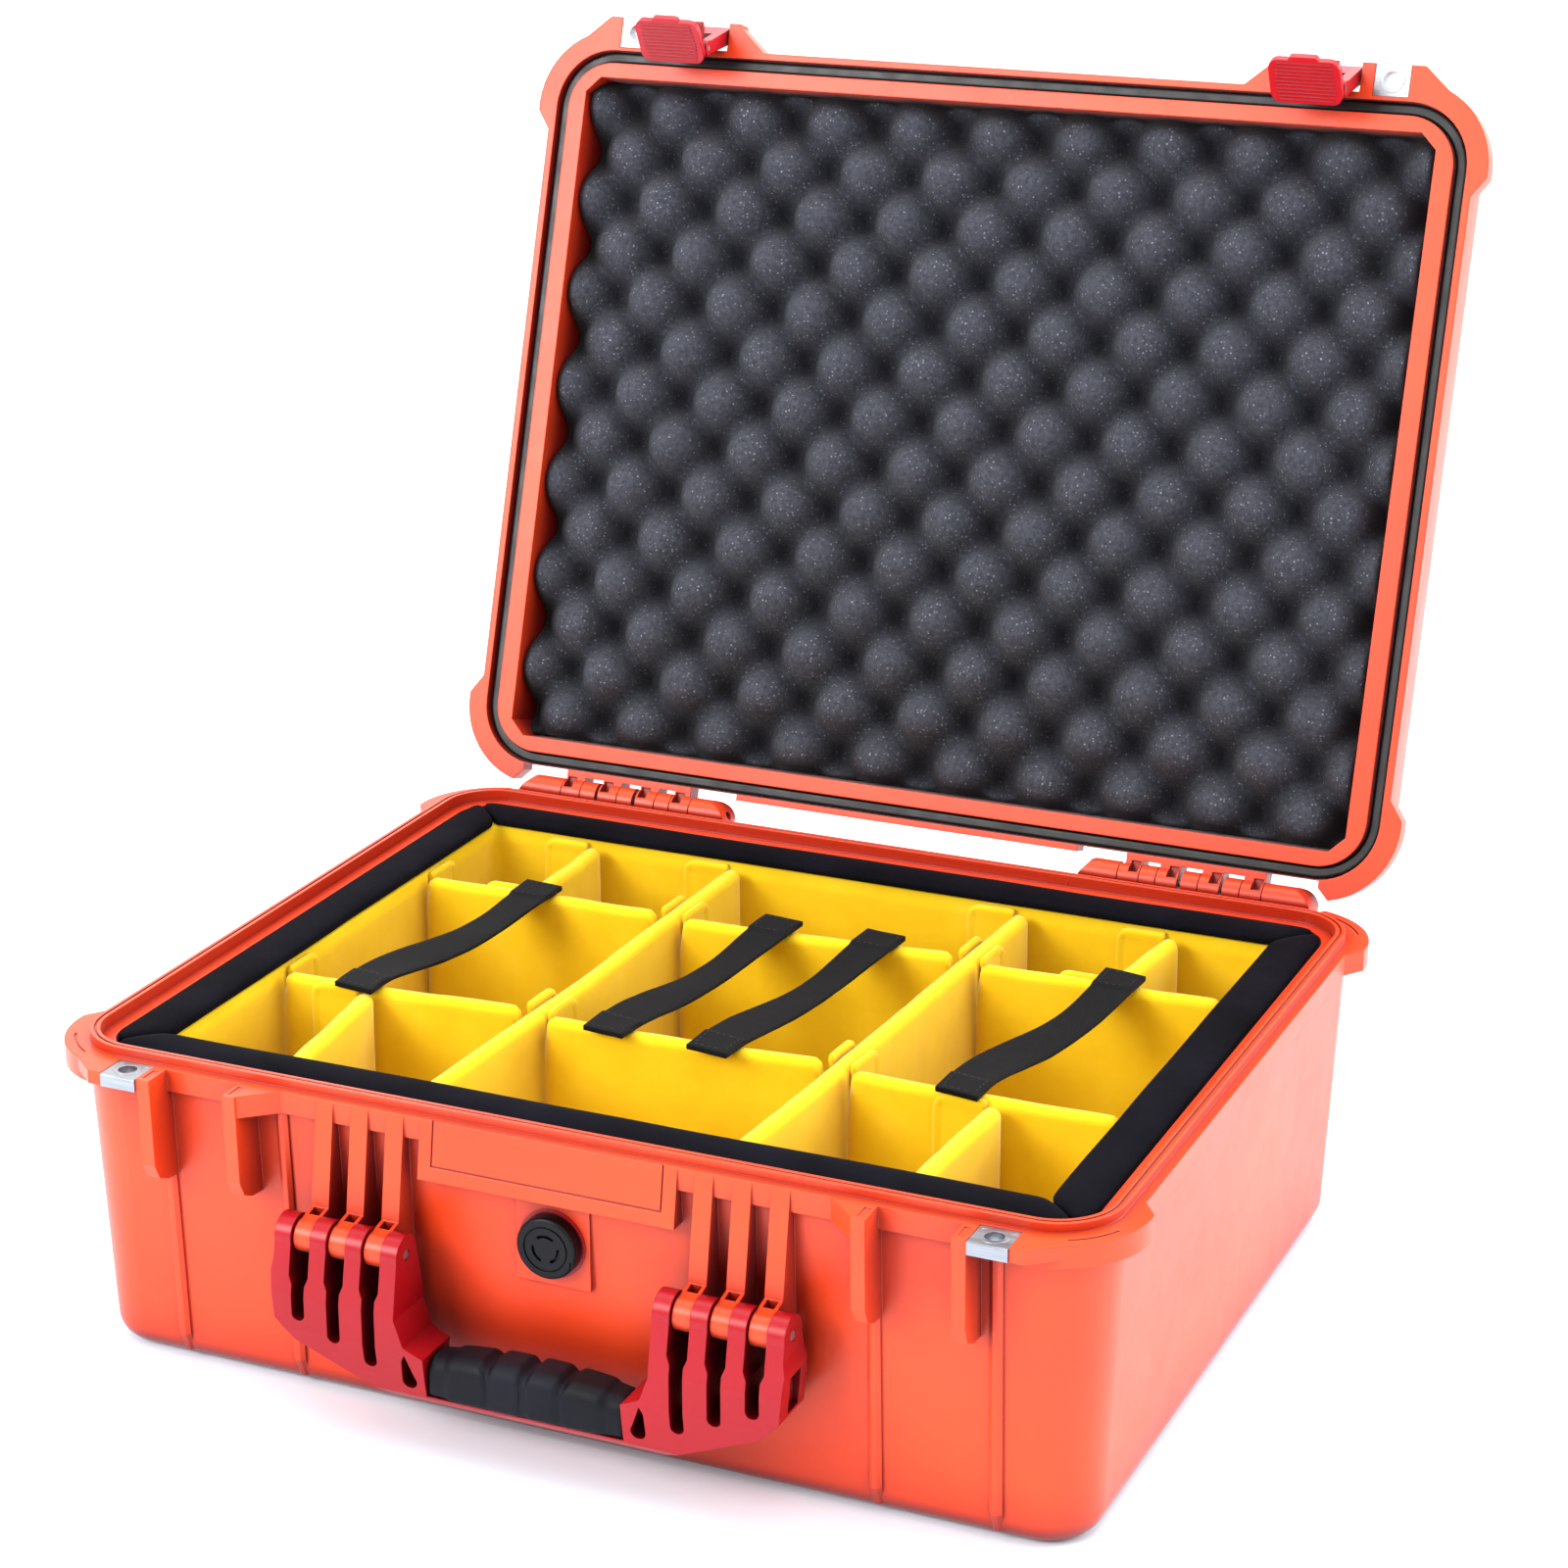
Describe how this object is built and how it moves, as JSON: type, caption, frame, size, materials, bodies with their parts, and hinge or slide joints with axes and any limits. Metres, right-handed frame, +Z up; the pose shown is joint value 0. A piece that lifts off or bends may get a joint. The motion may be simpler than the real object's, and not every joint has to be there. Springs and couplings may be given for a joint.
{
  "type": "hard equipment case",
  "caption": "Moulded hard case with foam-lined lid, padded yellow divider insert, throw latches, drop handle, padlock plates and vent knob, stored open.",
  "frame": {"origin": "centre of the base's flat underside", "axes": "+X to the case's right, +Y to the hinge side, +Z up; the front with the handle and latches faces -Y"},
  "size_m": [0.519, 0.596, 0.5559],
  "materials": {
    "shell_orange": "fine moulded texture",
    "crimson": "satin moulding",
    "grip_black": "matt",
    "gasket_black": "satin",
    "vent_black": "satin",
    "steel": "brushed",
    "foam_charcoal": "open-cell foam, speckled",
    "fabric_black": "woven",
    "lining_yellow": "brushed pile",
    "webbing_black": "ribbed webbing"
  },
  "bodies": {
    "base": {"base_shell": "shell_orange", "divider_cross_centre_back": "lining_yellow", "divider_cross_centre_front": "lining_yellow", "divider_cross_left_back": "lining_yellow", "divider_cross_left_front": "lining_yellow", "divider_cross_right_back": "lining_yellow", "divider_cross_right_front": "lining_yellow", "divider_long_left": "lining_yellow", "divider_long_right": "lining_yellow", "divider_short_left_back": "lining_yellow", "divider_short_left_front": "lining_yellow", "divider_short_right_back": "lining_yellow", "divider_short_right_front": "lining_yellow", "handle_pin_left": "steel", "handle_pin_right": "steel", "hinge_pin_left": "steel", "hinge_pin_right": "steel", "insert_lining": "lining_yellow", "insert_rim": "fabric_black", "insert_shell": "fabric_black", "plate_base_left": "steel", "plate_base_right": "steel", "strap_centre_left": "webbing_black", "strap_centre_right": "webbing_black", "strap_left": "webbing_black", "strap_right": "webbing_black", "vent_body": "vent_black", "vent_label": "crimson", "vent_nut": "vent_black"},
    "lid": {"lid_shell": "shell_orange", "lid_gasket": "gasket_black", "lid_foam": "foam_charcoal", "plate_lid_left": "steel", "plate_lid_right": "steel", "latch_pin_left": "steel", "latch_pin_right": "steel"},
    "handle": {"handle": "crimson", "handle_grip": "grip_black"},
    "latch_link_left": {"latch_link_left": "crimson", "latch_lever_pin_left": "steel"},
    "latch_lever_left": {"latch_lever_left": "crimson"},
    "latch_link_right": {"latch_link_right": "crimson", "latch_lever_pin_right": "steel"},
    "latch_lever_right": {"latch_lever_right": "crimson"}
  },
  "joints": [
    {"name": "lid_hinge", "type": "hinge", "parent": "base", "child": "lid", "pos_m": [0, 0.2047, 0.1516], "axis": [1, 0, 0], "range_deg": [0, 107.5]},
    {"name": "handle_pivot", "type": "hinge", "parent": "base", "child": "handle", "pos_m": [0, -0.2125, 0.092], "axis": [-1, 0, 0], "range_deg": [0, 95]},
    {"name": "latch_left", "type": "hinge", "parent": "lid", "child": "latch_link_left", "pos_m": [-0.17165, 0.3321, 0.54101], "axis": [1, 0, 0], "range_deg": [-23, 0]},
    {"name": "lever_left", "type": "hinge", "parent": "latch_link_left", "child": "latch_lever_left", "pos_m": [-0.17165, 0.30373, 0.53828], "axis": [-1, 0, 0], "range_deg": [0, 111.3]},
    {"name": "latch_right", "type": "hinge", "parent": "lid", "child": "latch_link_right", "pos_m": [0.17165, 0.3321, 0.54101], "axis": [1, 0, 0], "range_deg": [-23, 0]},
    {"name": "lever_right", "type": "hinge", "parent": "latch_link_right", "child": "latch_lever_right", "pos_m": [0.17165, 0.30373, 0.53828], "axis": [-1, 0, 0], "range_deg": [0, 111.3]}
  ],
  "couplings": [
    {"joint": "latch_left", "follows": "lid_hinge", "ratio": -0.21395},
    {"joint": "latch_right", "follows": "lid_hinge", "ratio": -0.21395}
  ]
}
